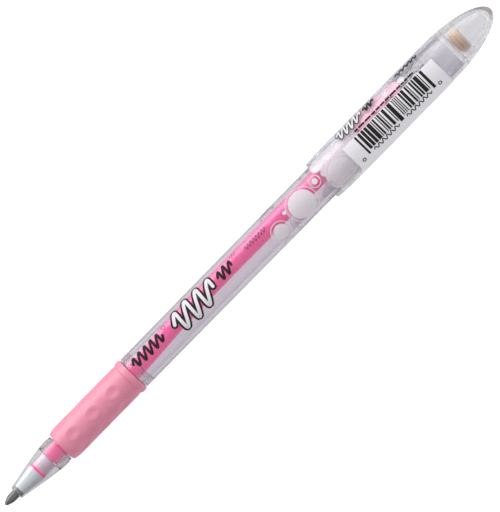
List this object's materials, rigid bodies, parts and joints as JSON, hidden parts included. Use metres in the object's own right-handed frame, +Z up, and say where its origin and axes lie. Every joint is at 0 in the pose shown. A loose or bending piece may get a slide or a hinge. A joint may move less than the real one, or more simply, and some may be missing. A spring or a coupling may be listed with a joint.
{
  "type": "gel pen",
  "caption": "Stick gel pen with a clear barrel, dimpled soft grip, refill seen inside, and a clear clip cap posted on its rear.",
  "frame": {"origin": "on the table, under the middle of the pen's box", "axes": "+X along the pen from the writing ball to the cap, +Y to its side, +Z up; the pen lies on its grip and clip with the nose 2 degrees down"},
  "size_m": [0.1542, 0.0108, 0.0141],
  "materials": {
    "barrel": "clear moulded plastic, glossy",
    "grip_core": "clear moulded plastic, glossy",
    "grip_sleeve": "soft matte pink rubber",
    "rear_plug": "clear moulded plastic",
    "nose_cone": "clear moulded plastic, glossy",
    "refill_tube": "cloudy translucent plastic tube",
    "ink_column": "opaque pink gel ink",
    "ink_follower": "clear grease",
    "tip_holder": "satin white plastic",
    "point_tip": "turned dark steel",
    "tip_ball": "polished hard metal ball",
    "cap_shell": "clear moulded plastic, glossy",
    "pocket_clip": "clear moulded plastic, glossy",
    "tip_seal": "tan rubber pad",
    "cap_label": "thin film label, white box with plain bars"
  },
  "bodies": {
    "barrel": {"barrel": "barrel", "grip_core": "grip_core", "grip_sleeve": "grip_sleeve", "rear_plug": "rear_plug"},
    "refill": {"refill_tube": "refill_tube", "ink_column": "ink_column", "tip_holder": "tip_holder", "point_tip": "point_tip"},
    "nose": {"nose_cone": "nose_cone"},
    "follower": {"ink_follower": "ink_follower"},
    "ball": {"tip_ball": "tip_ball"},
    "seal": {"tip_seal": "tip_seal"},
    "cap": {"cap_shell": "cap_shell", "cap_label": "cap_label"},
    "clip": {"pocket_clip": "pocket_clip"}
  },
  "joints": [
    {"name": "cap_slide", "type": "slide", "parent": "barrel", "child": "seal", "axis": [0.9993, 0, 0.0374], "range_m": [0, 0.046]},
    {"name": "cap_turn", "type": "hinge", "parent": "seal", "child": "cap", "pos_m": [0.06418, 0.00008, 0.00878], "axis": [0.9993, 0, 0.0374], "continuous": true},
    {"name": "clip_flex", "type": "hinge", "parent": "cap", "child": "clip", "pos_m": [0.06316, 0.00008, 0.00133], "axis": [0, -1, 0], "range_deg": [0, 4], "stiffness_Nm_per_rad": 0.6},
    {"name": "refill_slide", "type": "slide", "parent": "barrel", "child": "refill", "axis": [-0.9993, -0.0096, -0.0374], "range_m": [0, 0.119]},
    {"name": "nose_slide", "type": "slide", "parent": "refill", "child": "nose", "axis": [-0.9993, 0, -0.0374], "range_m": [0, 0.02]},
    {"name": "follower_slide", "type": "slide", "parent": "refill", "child": "follower", "axis": [-0.9993, -0.0096, -0.0374], "range_m": [0, 0.112], "deforming": ["ink_column"]},
    {"name": "ball_roll", "type": "hinge", "parent": "refill", "child": "ball", "pos_m": [-0.07672, 0, 0.00351], "axis": [0, 1, 0], "continuous": true}
  ]
}
